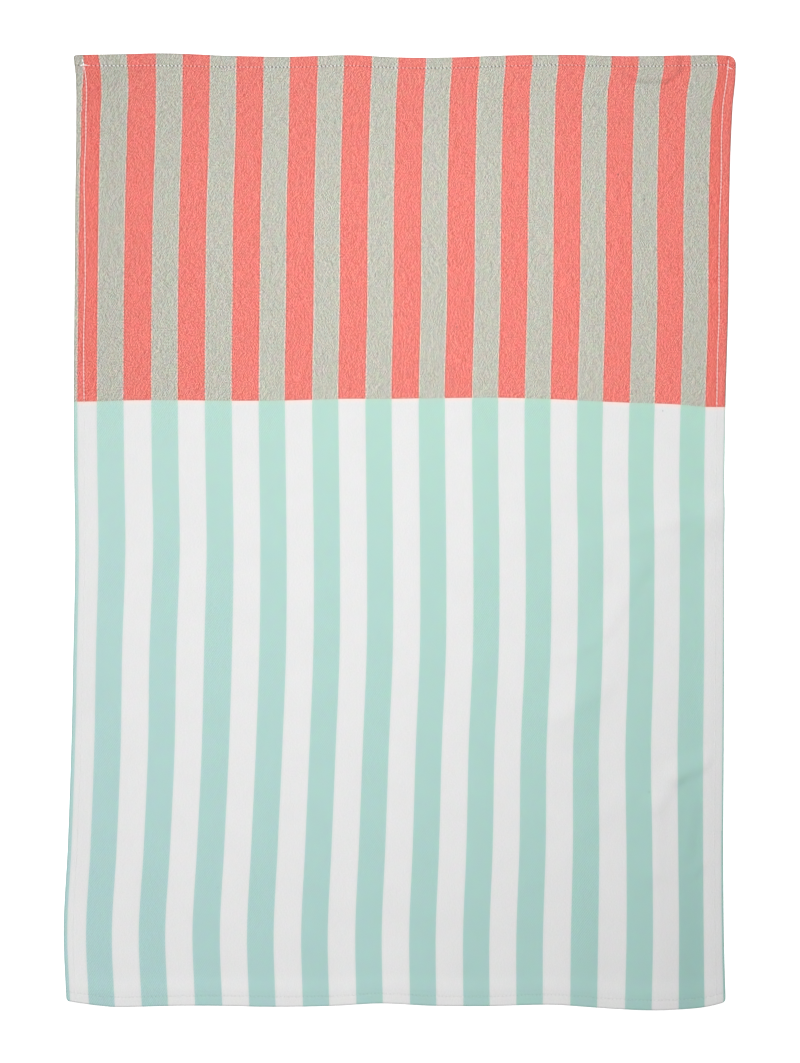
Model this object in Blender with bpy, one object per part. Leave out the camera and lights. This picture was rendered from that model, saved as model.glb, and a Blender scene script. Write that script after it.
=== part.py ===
"""A striped cotton tea towel, lying face up on a table and hemmed on all four sides.

The cloth is drawn first as it was cut and sewn: flat, square and measured in millimetres from its lower left
corner, "across" to the right and "up" towards the coloured end. Then it is laid on the table. It drifts a little
in its own plane, as soft cloth does when it is smoothed out by hand, low folds hold it off the table, and along
its four sides the turned hem lies under it.
"""

from collections import namedtuple

import bmesh
import bpy
import numpy as np

MM = 0.001

# The sewn cloth, in millimetres
WIDTH = 482.0  # from one folded side edge to the other
LENGTH = 700.0
CLOTH_THICK = 1.0
HEM_WIDTH = 8.5
HEM_LAYERS = 1.2  # what the turned edge adds under the cloth
HEM_CROSSING = 0.35  # the share of it that the second hem adds where two of them cross in a corner
HEM_STEP = 0.3  # how steeply the hem's inner edge rises to the cloth above it
HEM_SETTLE = 12.0  # past the hem, the cloth takes this far to come down to the table
EDGE_ROUND = 0.8  # radius of the folded edge
RULING = 18.0  # spacing of the solid's points between the hems

Corner = namedtuple("Corner", "name at_right at_top radius")
CORNERS = (
    Corner("bottom left", False, False, 2.5),
    Corner("bottom right", True, False, 4.5),
    Corner("top left", False, True, 2.5),
    Corner("top right", True, True, 6.0),
)

# How far the two side hems and the middle of the cloth lie to the right of straight, at heights up the cloth
Sway = namedtuple("Sway", "up left middle right")
SWAYS = (
    Sway(0, -4.0, -3.5, -1.0),
    Sway(50, -6.5, -4.0, -2.5),
    Sway(115, -4.0, -1.5, -3.0),
    Sway(190, -1.5, 1.0, -2.5),
    Sway(260, 0.0, 4.0, -2.5),
    Sway(340, 1.5, 4.0, -2.5),
    Sway(450, 0.0, 3.0, -1.5),
    Sway(520, 1.0, 4.5, 0.5),
    Sway(590, 1.5, 4.5, 1.5),
    Sway(650, 2.5, 6.0, 3.0),
    Sway(700, 2.0, 7.5, 6.5),
)

# How far the bottom hem and the top hem lie above straight, at places across the cloth
Rise = namedtuple("Rise", "across bottom_hem top_hem")
RISES = (
    Rise(0, 3.5, 0.0),
    Rise(20, 0.5, 1.0),
    Rise(55, -0.5, 2.0),
    Rise(105, -0.5, 0.0),
    Rise(150, -0.5, -0.5),
    Rise(200, 0.5, 0.5),
    Rise(225, 1.5, -1.0),
    Rise(270, -0.5, -1.0),
    Rise(310, 0.0, 0.0),
    Rise(355, 1.5, 0.5),
    Rise(400, -2.0, -1.5),
    Rise(445, -3.0, 0.5),
    Rise(470, -0.5, 0.0),
    Rise(482, 2.0, -1.0),
)

# Low folds where the cloth stands off the table, each along a line from a start to an end
Fold = namedtuple("Fold", "name start_across start_up end_across end_up half_width start_height end_height")
FOLDS = (
    Fold("top hem, left wave", 56, 704, 64, 628, 46, 2.6, 0.0),
    Fold("top hem, middle wave", 206, 704, 208, 650, 40, 1.5, 0.0),
    Fold("top hem, right wave", 350, 704, 352, 644, 50, 1.9, 0.0),
    Fold("top right corner", 486, 708, 450, 590, 50, 4.2, 0.0),
    Fold("bottom left corner", -4, -6, 34, 74, 46, 3.2, 0.0),
    Fold("bottom hem, middle wave", 226, -4, 228, 70, 48, 2.2, 0.0),
    Fold("bottom hem, right wave", 354, -4, 350, 54, 40, 1.6, 0.0),
    Fold("right side roll", 430, -8, 422, 232, 42, 3.6, 0.8),
    Fold("lower pull line", 362, 210, 424, 318, 30, 2.0, 1.2),
    Fold("upper pull line", 388, 330, 474, 364, 30, 1.6, 2.2),
    Fold("left side swell", 10, 250, 14, 420, 38, 1.6, 1.0),
)

COTTON = {"color": (0.62, 0.74, 0.69, 1.0), "roughness": 0.92}


def clear_scene():
    for obj in list(bpy.data.objects):
        bpy.data.objects.remove(obj)


def through_points(stations, values, at):
    """A smooth curve through values at stations, read at each of at. values is one curve, or a row of curves."""
    stations, values, at = (np.asarray(numbers, float) for numbers in (stations, values, at))
    slopes = np.gradient(values, stations, axis=0)
    first = np.clip(np.searchsorted(stations, at, side="right") - 1, 0, len(stations) - 2)
    span = stations[first + 1] - stations[first]
    t = np.clip((at - stations[first]) / span, 0.0, 1.0)
    if values.ndim > 1:
        t, span = t[:, None], span[:, None]
    return (
        (2 * t**3 - 3 * t**2 + 1) * values[first]
        + (t**3 - 2 * t**2 + t) * span * slopes[first]
        + (3 * t**2 - 2 * t**3) * values[first + 1]
        + (t**3 - t**2) * span * slopes[first + 1]
    )


def bump(t):
    """1 at 0, falling smoothly to nothing at 1 and past it."""
    return np.clip(1.0 - t * t, 0.0, None) ** 2


def ease(t):
    """From 0 to 1 as t goes from 0 to 1, level at both ends."""
    t = np.clip(t, 0.0, 1.0)
    return t * t * (3.0 - 2.0 * t)


def to_edges(across, up):
    """How far each point is from the nearer side edge and from the nearer end edge."""
    return np.minimum(across, WIDTH - across), np.minimum(up, LENGTH - up)


def round_corners(across, up):
    """Draws the square of cloth in each corner in to a quarter of a disc."""
    to_side, to_end = to_edges(across, up)
    at_right, at_top = across > WIDTH / 2, up > LENGTH / 2
    for corner in CORNERS:
        here = (at_right == corner.at_right) & (at_top == corner.at_top)
        out_across = np.where(here, np.clip(1.0 - to_side / corner.radius, 0.0, 1.0), 0.0)
        out_up = np.where(here, np.clip(1.0 - to_end / corner.radius, 0.0, 1.0), 0.0)
        in_across = corner.radius * out_across * (1.0 - np.sqrt(1.0 - out_up**2 / 2.0))
        in_up = corner.radius * out_up * (1.0 - np.sqrt(1.0 - out_across**2 / 2.0))
        across = across + np.where(at_right, -in_across, in_across)
        up = up + np.where(at_top, -in_up, in_up)
    return across, up


def drift(across, up):
    """Where each point of the cloth lies on the table, seen from above."""
    left, middle, right = through_points([s.up for s in SWAYS], [s[1:] for s in SWAYS], up).T
    bottom_hem, top_hem = through_points([r.across for r in RISES], [r[1:] for r in RISES], across).T
    side = 2.0 * across / WIDTH - 1.0
    bow = middle - (left + right) / 2.0
    sway = left + (right - left) * across / WIDTH + bow * (1.0 - side * side)
    return across + sway, up + bottom_hem + (top_hem - bottom_hem) * up / LENGTH


def fold_height(across, up):
    """How high the folds hold the cloth's back above the table."""
    height = np.zeros_like(across)
    for fold in FOLDS:
        run = np.array([fold.end_across - fold.start_across, fold.end_up - fold.start_up], float)
        from_start = np.stack([across - fold.start_across, up - fold.start_up], axis=-1)
        along = np.clip(from_start @ run / (run @ run), 0.0, 1.0)
        aside = np.linalg.norm(from_start - along[:, None] * run, axis=-1)
        crest = fold.start_height + (fold.end_height - fold.start_height) * ease(along)
        height += crest * bump(aside / fold.half_width)
    return height


def hem_height(across, up):
    """How high the turned hem holds the cloth above it, and on past it until the cloth is down again."""
    side, end = (
        HEM_LAYERS * (1.0 - ease((to_edge - HEM_WIDTH) / HEM_SETTLE)) for to_edge in to_edges(across, up)
    )
    return np.maximum(side, end) + HEM_CROSSING * np.minimum(side, end)


def ruling(size):
    """Where the solid's lines cross the cloth: close together at the two hems, and even between them."""
    hem = [0.0, 2.0, 5.0, HEM_WIDTH, HEM_WIDTH + HEM_STEP, HEM_WIDTH + 0.5 * HEM_SETTLE, HEM_WIDTH + HEM_SETTLE]
    middle = size - 2.0 * hem[-1]
    steps = round(middle / RULING)
    between = [hem[-1] + middle * step / steps for step in range(1, steps)]
    return hem + between + [size - line for line in reversed(hem)]


def cut_cloth():
    """The cloth before it is laid: a ruled block, across by up, with its back at 0 and its face at 1."""
    columns, rows = ruling(WIDTH), ruling(LENGTH)
    bm = bmesh.new()
    bmesh.ops.create_grid(bm, x_segments=len(columns) - 1, y_segments=len(rows) - 1, size=0.5)
    for vert in bm.verts:
        vert.co.x = columns[round((vert.co.x + 0.5) * (len(columns) - 1))]
        vert.co.y = rows[round((vert.co.y + 0.5) * (len(rows) - 1))]
    raised = bmesh.ops.extrude_face_region(bm, geom=bm.faces[:])["geom"]
    bmesh.ops.translate(bm, vec=(0, 0, 1), verts=[v for v in raised if isinstance(v, bmesh.types.BMVert)])
    bmesh.ops.recalc_face_normals(bm, faces=bm.faces[:])
    return bm


def mark_outline(bm):
    """Marks the block's sharp edges, above and below its rim, for the Bevel modifier to round."""
    weight = bm.edges.layers.float.new("bevel_weight_edge")
    for edge in bm.edges:
        rim_faces = [face for face in edge.link_faces if abs(face.normal.z) < 0.5]
        if len(rim_faces) == 1:
            edge[weight] = 1.0


def lay_cloth(bm):
    """Moves each point from where it was cut to where it lies, with the towel's outline centred on the origin."""
    across, up, layer = np.array([vert.co for vert in bm.verts]).T
    folds, hem = fold_height(across, up), hem_height(across, up)
    over_turned_hem = np.minimum(*to_edges(across, up)) <= HEM_WIDTH
    back = folds + np.where(over_turned_hem, 0.0, hem)
    face = folds + hem + CLOTH_THICK
    x, y = drift(*round_corners(across, up))
    x -= (x.min() + x.max()) / 2.0
    y -= (y.min() + y.max()) / 2.0
    for vert, *place in zip(bm.verts, x, y, np.where(layer > 0.5, face, back)):
        vert.co = [MM * length for length in place]


def make_material(name, color, roughness):
    material = bpy.data.materials.new(name)
    material.use_nodes = True
    shader = material.node_tree.nodes["Principled BSDF"]
    shader.inputs["Base Color"].default_value = color
    shader.inputs["Roughness"].default_value = roughness
    shader.inputs["Metallic"].default_value = 0.0
    return material


def make_towel():
    bm = cut_cloth()
    mark_outline(bm)
    lay_cloth(bm)
    mesh = bpy.data.meshes.new("tea_towel")
    bm.to_mesh(mesh)
    bm.free()
    mesh.shade_smooth()
    mesh.materials.append(make_material("cotton_twill", **COTTON))
    towel = bpy.data.objects.new("tea_towel", mesh)
    bpy.context.scene.collection.objects.link(towel)
    folded_edge = towel.modifiers.new("folded_edge", "BEVEL")
    folded_edge.limit_method = "WEIGHT"
    folded_edge.width = EDGE_ROUND * MM
    folded_edge.segments = 2


clear_scene()
make_towel()
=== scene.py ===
"""How the striped cotton tea towel looks: hemmed and lockstitched twill, lying face up on a pale table.

The tables are in millimetres of sewn cloth, as in the part's source: "across" runs from the left side hem to
the right one, and "up" from the bottom hem to the coloured end. Meshes, lights and the camera are in metres.
"""

import math
import random
from collections import namedtuple

import bpy
import numpy as np
from mathutils import Matrix, Vector


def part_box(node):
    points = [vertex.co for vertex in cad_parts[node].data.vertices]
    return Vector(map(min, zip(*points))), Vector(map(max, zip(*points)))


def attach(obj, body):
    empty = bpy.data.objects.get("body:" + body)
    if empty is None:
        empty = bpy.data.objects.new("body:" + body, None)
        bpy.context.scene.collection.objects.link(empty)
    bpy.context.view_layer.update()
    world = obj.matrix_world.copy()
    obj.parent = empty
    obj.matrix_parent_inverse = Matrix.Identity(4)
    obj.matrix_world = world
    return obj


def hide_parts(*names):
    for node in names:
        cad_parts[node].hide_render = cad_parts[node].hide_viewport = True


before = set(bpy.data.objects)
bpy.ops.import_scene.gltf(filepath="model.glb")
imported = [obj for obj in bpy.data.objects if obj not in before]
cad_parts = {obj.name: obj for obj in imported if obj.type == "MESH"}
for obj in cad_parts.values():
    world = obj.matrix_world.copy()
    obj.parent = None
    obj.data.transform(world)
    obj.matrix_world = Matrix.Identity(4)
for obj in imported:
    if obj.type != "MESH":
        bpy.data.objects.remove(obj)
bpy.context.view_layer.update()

MM = 0.001

# The sewn cloth
WIDTH = 482.0  # from one folded side edge to the other
LENGTH = 700.0
CLOTH_THICK = 1.0
HEM_WIDTHS = (8.5, 10.5)  # of the side hems and of the end hems
HEM_LAYERS = 1.2  # what the turned edge adds under the cloth
HEM_CROSSING = 0.35  # the share of it that the second hem adds where two of them cross in a corner
HEM_STEP = 0.3  # the width over which the turned hem's inner edge rises to the cloth above it
HEM_SETTLE = 12.0  # past the hem, the cloth takes this far to come down to the table
EDGE_ROUND = 0.8
RULING = 3.1  # spacing of the cloth's lines of points between the hems
FOLD_RULING = (0.0, 0.1, 0.3, EDGE_ROUND, 1.8, 3.8)  # the lines by the fold, from the folded edge
FIRST_SEAM_RULING = 5.4  # from the folded edge to the first of the close lines along the stitching
SEAM_RULING = 0.6
SETTLING_RULING = (0.1, 0.25, 0.4, 0.6, 0.8, 1.0)  # the lines past the hem, as shares of HEM_SETTLE
SEAM_GROOVE = 0.32  # how far the tight thread draws each side of the hem in, at the coloured end
LOWER_SEAM_GROOVE = 0.1  # and along the bottom hem, where it is sewn with less tension
SEAM_GROOVE_REACH = 1.1

# The woven pattern
COLOUR_CHANGE_UP = 445.0  # the pick where the weft changes from white to coral
WARP_PITCH = 0.4
WEFT_PITCH = 0.6
TWILL_ENDS = 4.0
STRIPE_START = 16.7  # the left edge of the first whole mint stripe
STRIPE_PAIR = 39.13  # one mint and one white stripe
MINT_STRIPE = 19.25
LEFT_SLIVER = 2.8  # how much of a mint stripe shows inside each side fold
RIGHT_SLIVER = 1.75
RIGHT_SLIVER_TAPER = 1.9  # how much narrower the right one is at the coloured end
LEFT_SLIVER_FLARE = 1.7  # how much wider the left one is there
LEFT_SLIVER_END_FLARE = 2.2  # and how much more over the end hem
END_FLARE_STARTS = 26.0  # this widening starts and ends so far below the top edge
END_FLARE_ENDS = 4.0

Corner = namedtuple("Corner", "name at_right at_top radius")
CORNERS = (
    Corner("bottom left", False, False, 2.5),
    Corner("bottom right", True, False, 3.0),
    Corner("top left", False, True, 2.5),
    Corner("top right", True, True, 6.0),
)

# How far the upright threads lie to the right of straight, at heights up the cloth and shares of its width
SWAY_SHARES = (0.0, 0.125, 0.25, 0.5, 0.75, 0.875, 1.0)
Sway = namedtuple("Sway", "up left eighth quarter middle three_quarters seven_eighths right")
SWAYS = (
    Sway(0, -4.5, -5.2, -4.3, -3.4, -2.8, -1.5, -1.5),
    Sway(50, -6.8, -7.5, -6.1, -4.1, -2.4, -0.3, -2.7),
    Sway(115, -3.8, -3.9, -3.0, -1.5, -0.7, -0.6, -3.2),
    Sway(190, -1.2, -0.6, 0.6, 1.0, -0.3, -1.5, -2.8),
    Sway(260, 0.4, 0.4, 2.9, 3.9, 2.6, 0.5, -2.5),
    Sway(340, 1.7, 3.2, 3.9, 4.0, 3.2, 1.1, -2.5),
    Sway(395, 0.9, 2.3, 3.2, 3.4, 2.4, 0.4, -2.4),
    Sway(450, 0.5, 1.7, 2.6, 3.0, 2.8, 1.5, -1.4),
    Sway(520, 1.1, 1.9, 3.2, 4.5, 4.6, 3.3, 0.6),
    Sway(590, 1.6, 3.0, 3.9, 4.8, 5.1, 3.2, 1.2),
    Sway(650, 2.4, 4.9, 5.6, 6.0, 6.0, 4.3, 2.8),
    Sway(676, 2.3, 5.3, 5.9, 6.9, 6.6, 5.3, 4.2),
    Sway(692, 1.5, 5.4, 6.1, 8.0, 8.4, 8.0, 5.3),
    Sway(700, 0.4, 5.4, 6.2, 8.2, 8.6, 8.2, 5.9),
)

# How far the level threads lie above straight at places across the cloth
RISE_UPS = (0.0, COLOUR_CHANGE_UP, LENGTH)
Rise = namedtuple("Rise", "across bottom_hem colour_change top_hem")
RISES = (
    Rise(0, 3.5, -1.0, -0.9),
    Rise(20, 0.4, -0.7, -0.4),
    Rise(38, -1.4, 0.0, 0.0),
    Rise(55, -1.1, 0.2, 0.5),
    Rise(80, -0.5, 0.1, 0.1),
    Rise(105, -0.4, -0.2, -0.9),
    Rise(150, -1.2, -0.1, -1.7),
    Rise(200, -0.2, 1.2, -0.8),
    Rise(225, 1.5, 1.2, -2.1),
    Rise(270, -0.5, 1.7, -2.2),
    Rise(310, -0.7, 2.0, -0.8),
    Rise(355, 0.5, 0.7, -0.5),
    Rise(400, -2.6, -1.4, -1.3),
    Rise(445, -3.0, -3.0, -0.8),
    Rise(470, -0.8, -4.9, -1.1),
    Rise(482, 2.2, -4.9, -2.0),
)

# Where a corner's stitching drags the cloth to the right along its hem
Drag = namedtuple("Drag", "name across up reach distance")
DRAGS = (
    Drag("top left", 22, 678, 30, 1.2),
    Drag("top right", 464, 683, 26, 2.5),
)

# How far inside its edge each row of stitches runs, at shares of its length from the left or the bottom
Inset = namedtuple("Inset", "share left right bottom top")
INSETS = (
    Inset(0.0, 7.0, 7.0, 7.2, 7.6),
    Inset(0.1, 7.2, 7.1, 7.0, 9.0),
    Inset(0.18, 7.0, 7.0, 7.1, 8.9),
    Inset(0.26, 7.2, 6.9, 7.3, 8.0),
    Inset(0.35, 7.0, 7.0, 7.1, 7.9),
    Inset(0.5, 7.2, 7.1, 7.0, 7.9),
    Inset(0.64, 7.7, 7.0, 6.9, 8.0),
    Inset(0.7, 7.0, 7.3, 7.1, 7.8),
    Inset(0.74, 7.6, 7.2, 7.2, 7.8),
    Inset(0.8, 7.6, 7.6, 7.0, 7.7),
    Inset(0.865, 6.4, 6.7, 7.1, 7.7),
    Inset(0.93, 6.9, 7.3, 7.0, 7.5),
    Inset(0.975, 6.7, 7.7, 7.0, 7.1),
    Inset(1.0, 5.4, 5.9, 7.0, 6.9),
)

# Low folds where the cloth stands off the table, as in the part
Fold = namedtuple("Fold", "name start_across start_up end_across end_up half_width start_height end_height")
FOLDS = (
    Fold("top hem, left wave", 56, 704, 64, 628, 46, 2.6, 0.0),
    Fold("top hem, middle wave", 206, 704, 208, 650, 40, 1.5, 0.0),
    Fold("top hem, right wave", 350, 704, 352, 644, 50, 1.9, 0.0),
    Fold("top right corner", 486, 708, 450, 590, 50, 4.2, 0.0),
    Fold("bottom left corner", -4, -6, 34, 74, 46, 3.2, 0.0),
    Fold("bottom hem, middle wave", 226, -4, 228, 70, 48, 2.2, 0.0),
    Fold("bottom hem, right wave", 354, -4, 350, 54, 40, 1.6, 0.0),
    Fold("right side roll", 430, -8, 422, 232, 42, 3.6, 0.8),
    Fold("lower pull line", 362, 210, 424, 318, 30, 2.0, 1.2),
    Fold("upper pull line", 388, 330, 474, 364, 30, 1.6, 2.2),
    Fold("left side swell", 10, 250, 14, 420, 38, 1.6, 1.0),
)

# Finer creases on them. left and right are how far each one's slopes reach, looking along it from its start.
Crease = namedtuple(
    "Crease", "name start_across start_up end_across end_up left right start_height end_height"
)
CREASES = (
    Crease("upper pull line's edge", 372, 338, 446, 362, 14, 11, 0.5, 1.3),
    Crease("upper pull line, by the right hem", 446, 364, 480, 372, 12, 24, 1.2, 2.6),
    Crease("lower pull line, first edge", 392, 281, 416, 322, 16, 9, 0.9, 1.2),
    Crease("lower pull line, lower part of it", 364, 256, 388, 272, 14, 6, 0.8, 0.8),
    Crease("lower pull line, second edge", 356, 210, 390, 232, 16, 8, 0.6, 0.6),
    Crease("pinch by the right hem", 447, 171, 466, 180, 15, 7, 1.5, 1.6),
    Crease("pinch, middle part", 432, 149, 447, 171, 15, 7, 0.8, 1.1),
    Crease("pinch, lower part", 428, 100, 432, 149, 16, 9, 0.7, 0.8),
    Crease("ripple below the pinch", 454, 112, 460, 150, 8, 6, 0.5, 0.7),
    Crease("dent below the pinch", 455, 98, 466, 106, 8, 6, 0.4, 0.7),
    Crease("low fold beside the pinch", 374, 125, 412, 161, 14, 11, 0.4, 0.6),
    Crease("edge of the right side roll", 433, 20, 430, 98, 12, 10, 0.4, 0.4),
    Crease("coloured end, right crease", 386, 452, 344, 560, 8, 8, 0.4, 0.25),
    Crease("coloured end, left crease", 168, 522, 300, 466, 8, 8, 0.25, 0.4),
    Crease("top left corner, curled up", -2, 703, 2, 697, 50, 50, 3.2, 3.2),
    Crease("crease below the curled corner", 14, 629, 74, 679, 12, 9, 1.0, 1.4),
    Crease("pucker under the top seam, left part", 397, 691, 410, 684, 6, 5, 0.4, 0.9),
    Crease("pucker under the top seam", 410, 684, 430, 684, 6, 5, 0.9, 1.1),
    Crease("pucker across the top hem", 430, 684, 438, 698, 6, 5, 1.1, 0.9),
)

UNDULATION = 0.12  # height of the faint unevenness all over the cloth, which is three waves
WAVE_REACHES = (11.0, 17.0, 23.0)  # how far a radian of each wave reaches: one across, one up and one aslant
WAVE_SLANT = 0.6
WANDERS = (1.3, 1.7)  # how many radians the first two waves' crests wander
WANDER_REACHES = (47.0, 39.0)  # and how far a radian of their wandering reaches


def through_points(stations, values, at):
    """A smooth curve through values at stations, read at each of at. values is one curve or a row of them."""
    stations, values, at = (np.asarray(numbers, float) for numbers in (stations, values, at))
    slopes = np.gradient(values, stations, axis=0)
    first = np.clip(np.searchsorted(stations, at, side="right") - 1, 0, len(stations) - 2)
    span = stations[first + 1] - stations[first]
    t = np.clip((at - stations[first]) / span, 0.0, 1.0)
    if values.ndim > 1:
        t, span = t[:, None], span[:, None]
    return (
        (2 * t**3 - 3 * t**2 + 1) * values[first]
        + (t**3 - 2 * t**2 + t) * span * slopes[first]
        + (3 * t**2 - 2 * t**3) * values[first + 1]
        + (t**3 - t**2) * span * slopes[first + 1]
    )


def through_table(rows, row_stations, column_stations, at_row, at_column):
    """A smooth surface through a table of heights, read at each pair of at_row and at_column."""
    row_weights = through_points(row_stations, np.eye(len(row_stations)), at_row)
    column_weights = through_points(column_stations, np.eye(len(column_stations)), at_column)
    return ((row_weights @ np.asarray(rows, float)) * column_weights).sum(axis=1)


NO_DISTANCE = 0.001  # kept out of a division


def bump(t):
    """1 at 0, falling smoothly to nothing at 1 and past it."""
    return np.clip(1.0 - t * t, 0.0, None) ** 2


def ease(t):
    """From 0 to 1 as t goes from 0 to 1, level at both ends."""
    t = np.clip(t, 0.0, 1.0)
    return t * t * (3.0 - 2.0 * t)


def to_edges(across, up):
    """How far each point is from the nearer side edge and from the nearer end edge."""
    return np.minimum(across, WIDTH - across), np.minimum(up, LENGTH - up)


def round_corners(across, up):
    """Draws the square of cloth in each corner in to a quarter of a disc."""
    to_side, to_end = to_edges(across, up)
    at_right, at_top = across > WIDTH / 2, up > LENGTH / 2
    for corner in CORNERS:
        here = (at_right == corner.at_right) & (at_top == corner.at_top)
        out_across = np.where(here, np.clip(1.0 - to_side / corner.radius, 0.0, 1.0), 0.0)
        out_up = np.where(here, np.clip(1.0 - to_end / corner.radius, 0.0, 1.0), 0.0)
        in_across = corner.radius * out_across * (1.0 - np.sqrt(1.0 - out_up**2 / 2.0))
        in_up = corner.radius * out_up * (1.0 - np.sqrt(1.0 - out_across**2 / 2.0))
        across = across + np.where(at_right, -in_across, in_across)
        up = up + np.where(at_top, -in_up, in_up)
    return across, up


def drift(across, up):
    """Where each point of the cloth lies on the table, seen from above."""
    sway = through_table([s[1:] for s in SWAYS], [s.up for s in SWAYS], SWAY_SHARES, up, across / WIDTH)
    rise = through_table([r[1:] for r in RISES], [r.across for r in RISES], RISE_UPS, across, up)
    for drag in DRAGS:
        sway += drag.distance * bump(np.hypot(across - drag.across, up - drag.up) / drag.reach)
    return across + sway, up + rise


def ridge(across, up, fold, left, right):
    """The height of a fold or crease, whose slopes reach this far to the left and the right of its crest."""
    run = np.array([fold.end_across - fold.start_across, fold.end_up - fold.start_up], float)
    from_start = np.stack([across - fold.start_across, up - fold.start_up], axis=-1)
    along = np.clip(from_start @ run / (run @ run), 0.0, 1.0)
    off_crest = from_start - along[:, None] * run
    aside = np.linalg.norm(off_crest, axis=-1)
    turned_left = run[0] * off_crest[:, 1] - run[1] * off_crest[:, 0]
    leftness = turned_left / (math.hypot(*run) * np.maximum(aside, NO_DISTANCE))
    reach = (left + right) / 2.0 + leftness * (left - right) / 2.0
    crest = fold.start_height + (fold.end_height - fold.start_height) * ease(along)
    return crest * bump(aside / reach)


def fold_height(across, up):
    """How high the folds and creases hold the cloth's back above the table."""
    height = np.zeros_like(across)
    for fold in FOLDS:
        height += ridge(across, up, fold, fold.half_width, fold.half_width)
    for crease in CREASES:
        height += ridge(across, up, crease, crease.left, crease.right)
    first = np.sin(across / WAVE_REACHES[0] + WANDERS[0] * np.sin(up / WANDER_REACHES[0]))
    second = np.sin(up / WAVE_REACHES[1] + WANDERS[1] * np.sin(across / WANDER_REACHES[1]))
    third = np.sin((across + WAVE_SLANT * up) / WAVE_REACHES[2])
    return height + UNDULATION * (first + second + third + 3.0) / 6.0


def past_hems(across, up):
    """How far each point is past the inner edges of the side hem and the end hem, below 0 over a hem."""
    to_side, to_end = to_edges(across, up)
    return to_side - HEM_WIDTHS[0], to_end - HEM_WIDTHS[1]


def hem_height(across, up):
    """How high the turned hem holds the cloth above it, and on past it until the cloth is down again."""
    side, end = (HEM_LAYERS * (1.0 - ease(past / HEM_SETTLE)) for past in past_hems(across, up))
    return np.maximum(side, end) + HEM_CROSSING * np.minimum(side, end)


def past_seams(across, up):
    """How far each point is past the stitching of the nearer side hem and of the nearer end hem."""
    shares, *insets = zip(*INSETS)
    left, right = (through_points(shares, inset, up / LENGTH) for inset in insets[:2])
    bottom, top = (through_points(shares, inset, across / WIDTH) for inset in insets[2:])
    side_inset = np.where(across < WIDTH / 2, left, right)
    end_inset = np.where(up < LENGTH / 2, bottom, top)
    to_side, to_end = to_edges(across, up)
    return to_side - side_inset, to_end - end_inset


def seam_groove(across, up):
    """How far the stitching draws the cloth in along the four seams."""
    side, end = past_seams(across, up)
    nearer = np.minimum(np.abs(side), np.abs(end))
    depth = SEAM_GROOVE * ease((up - COLOUR_CHANGE_UP) / HEM_SETTLE)
    depth = np.where(np.abs(end) < np.abs(side), np.maximum(depth, LOWER_SEAM_GROOVE), depth)
    return depth * bump(nearer / SEAM_GROOVE_REACH)


def folded_edge(across, up):
    """How far the fold's roundness brings either side of the cloth towards its middle."""
    out = np.clip(1.0 - np.minimum(*to_edges(across, up)) / EDGE_ROUND, 0.0, 1.0)
    return EDGE_ROUND * (1.0 - np.sqrt(1.0 - out**2))


OUTLINE_POINTS = 600  # on each side


def centre_of_outline():
    """The middle of the laid towel's outline, which lies on the CAD part's own middle."""
    edge = np.linspace(0.0, 1.0, OUTLINE_POINTS)
    across = np.concatenate([edge * 0.0, edge * 0.0 + 1.0, edge, edge]) * WIDTH
    up = np.concatenate([edge, edge, edge * 0.0, edge * 0.0 + 1.0]) * LENGTH
    low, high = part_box("tea_towel")
    part_across, part_up = (low.x + high.x) / 2.0 / MM, (low.y + high.y) / 2.0 / MM
    x, y = drift(*round_corners(across, up))
    return (x.min() + x.max()) / 2.0 - part_across, (y.min() + y.max()) / 2.0 - part_up


CENTRE_ACROSS, CENTRE_UP = centre_of_outline()


def lay(across, up, on_face):
    """The places in metres of points of the cloth: on its face where on_face is true, else on its back."""
    folds, hem = fold_height(across, up), hem_height(across, up)
    drawn_in = seam_groove(across, up) + folded_edge(across, up)
    over_turned_hem = np.minimum(*past_hems(across, up)) <= 0.0
    back = folds + np.where(over_turned_hem, drawn_in, hem)
    face = folds + hem + CLOTH_THICK - drawn_in
    x, y = drift(*round_corners(across, up))
    return np.stack([x - CENTRE_ACROSS, y - CENTRE_UP, np.where(on_face, face, back)], axis=-1) * MM


def deselect_all():
    for obj in bpy.context.selected_objects:
        obj.select_set(False)
    bpy.context.view_layer.objects.active = None


def ruling(size, hem_width):
    """Where the cloth's lines of points lie: close together over the two hems, and even between them."""
    last = hem_width - HEM_STEP
    seam = np.linspace(FIRST_SEAM_RULING, last, round((last - FIRST_SEAM_RULING) / SEAM_RULING) + 1)
    settling = [hem_width + HEM_SETTLE * share for share in SETTLING_RULING]
    hem = [*FOLD_RULING, *seam, hem_width, hem_width + HEM_STEP, *settling]
    middle = size - 2.0 * hem[-1]
    steps = round(middle / RULING)
    between = [hem[-1] + middle * step / steps for step in range(1, steps)]
    return hem + between + [size - line for line in reversed(hem)]


def beyond(place, size):
    """The place that a turned hem shows under a point: as far past the fold as the point is inside it."""
    return np.where(place < size / 2, -place, 2.0 * size - place)


def woven_places(across, up, on_face, corners):
    """The place of the woven pattern at each corner of each face, and whether the right side shows there."""
    past_side, past_end = past_hems(across[corners].mean(axis=1), up[corners].mean(axis=1))
    on_back = ~on_face[corners].any(axis=1)
    end_hem = on_back & (past_end < HEM_STEP)
    side_hem = on_back & (past_side < HEM_STEP) & ~end_hem
    woven_across = np.where(side_hem[:, None], beyond(across[corners], WIDTH), across[corners])
    woven_up = np.where(end_hem[:, None], beyond(up[corners], LENGTH), up[corners])
    right_side = np.broadcast_to((~on_back | end_hem | side_hem)[:, None], corners.shape)
    return np.stack([woven_across, woven_up, right_side], axis=-1)


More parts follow.
